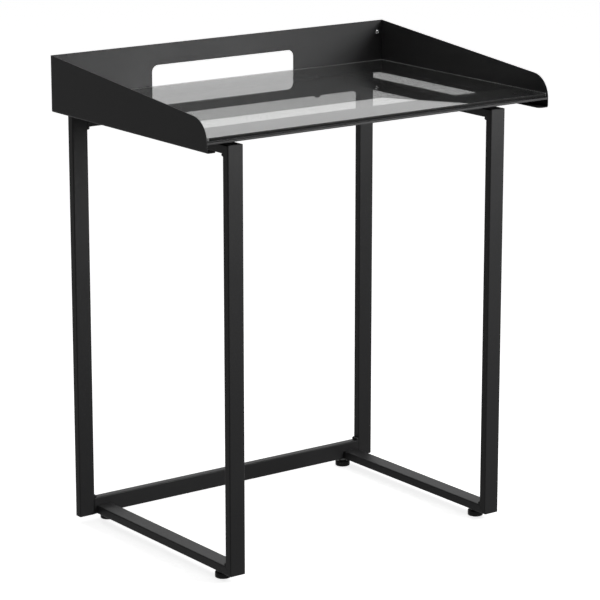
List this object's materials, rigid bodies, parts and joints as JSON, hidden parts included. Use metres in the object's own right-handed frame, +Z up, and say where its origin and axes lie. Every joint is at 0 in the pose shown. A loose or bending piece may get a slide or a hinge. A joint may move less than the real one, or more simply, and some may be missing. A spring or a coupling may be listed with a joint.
{
  "type": "glass-top work table",
  "caption": "Compact glass-top work table: folded sheet-metal tray with a raised three-sided border and cable slot, loose glass sheet, black tube frame, levelling glides.",
  "frame": {"origin": "middle of the footprint, on the floor", "axes": "+Z up, +X to the right of the user, who sits on the -Y side; the raised back panel is on the +Y side"},
  "size_m": [0.7, 0.463, 0.826],
  "materials": {
    "tray_paint": "matt powder coat",
    "tube_paint": "matt powder coat",
    "clear_glass": "polished",
    "clear_rubber": "clear",
    "chrome_screw": "bright",
    "zinc_steel": "zinc plated",
    "black_screw": "black oxide",
    "black_plastic": "moulded"
  },
  "bodies": {
    "table_frame": {"back_panel": "tray_paint", "left_panel": "tray_paint", "right_panel": "tray_paint", "front_shelf": "tray_paint", "left_glass_rest": "tray_paint", "right_glass_rest": "tray_paint", "corner_screws": "chrome_screw", "corner_nuts": "zinc_steel", "glass_bumpers": "clear_rubber", "rear_left_post": "tube_paint", "rear_right_post": "tube_paint", "upper_crossbar": "tube_paint", "lower_crossbar": "tube_paint", "rear_frame_welds": "tube_paint", "rear_post_plugs": "black_plastic", "left_front_post": "tube_paint", "left_top_rail": "tube_paint", "left_bottom_rail": "tube_paint", "left_frame_welds": "tube_paint", "right_front_post": "tube_paint", "right_top_rail": "tube_paint", "right_bottom_rail": "tube_paint", "right_frame_welds": "tube_paint", "rail_end_blocks": "zinc_steel", "frame_bolts": "black_screw", "tray_rear_screws": "black_screw", "tray_front_screws": "black_screw", "tray_nuts": "black_screw", "glide_inserts": "zinc_steel", "glide_lock_nuts": "zinc_steel"},
    "glass": {"glass_top": "clear_glass"},
    "front_left_glide": {"front_left_glide_foot": "black_plastic", "front_left_glide_stud": "zinc_steel"},
    "front_right_glide": {"front_right_glide_foot": "black_plastic", "front_right_glide_stud": "zinc_steel"},
    "rear_left_glide": {"rear_left_glide_foot": "black_plastic", "rear_left_glide_stud": "zinc_steel"},
    "rear_right_glide": {"rear_right_glide_foot": "black_plastic", "rear_right_glide_stud": "zinc_steel"}
  },
  "joints": [
    {"name": "glass_lift", "type": "slide", "parent": "table_frame", "child": "glass", "axis": [0, 0, 1], "range_m": [0, 0.12]},
    {"name": "front_left_glide_screw", "type": "slide", "parent": "table_frame", "child": "front_left_glide", "axis": [0, 0, -1], "range_m": [0, 0.008]},
    {"name": "front_right_glide_screw", "type": "slide", "parent": "table_frame", "child": "front_right_glide", "axis": [0, 0, -1], "range_m": [0, 0.008]},
    {"name": "rear_left_glide_screw", "type": "slide", "parent": "table_frame", "child": "rear_left_glide", "axis": [0, 0, -1], "range_m": [0, 0.008]},
    {"name": "rear_right_glide_screw", "type": "slide", "parent": "table_frame", "child": "rear_right_glide", "axis": [0, 0, -1], "range_m": [0, 0.008]}
  ]
}
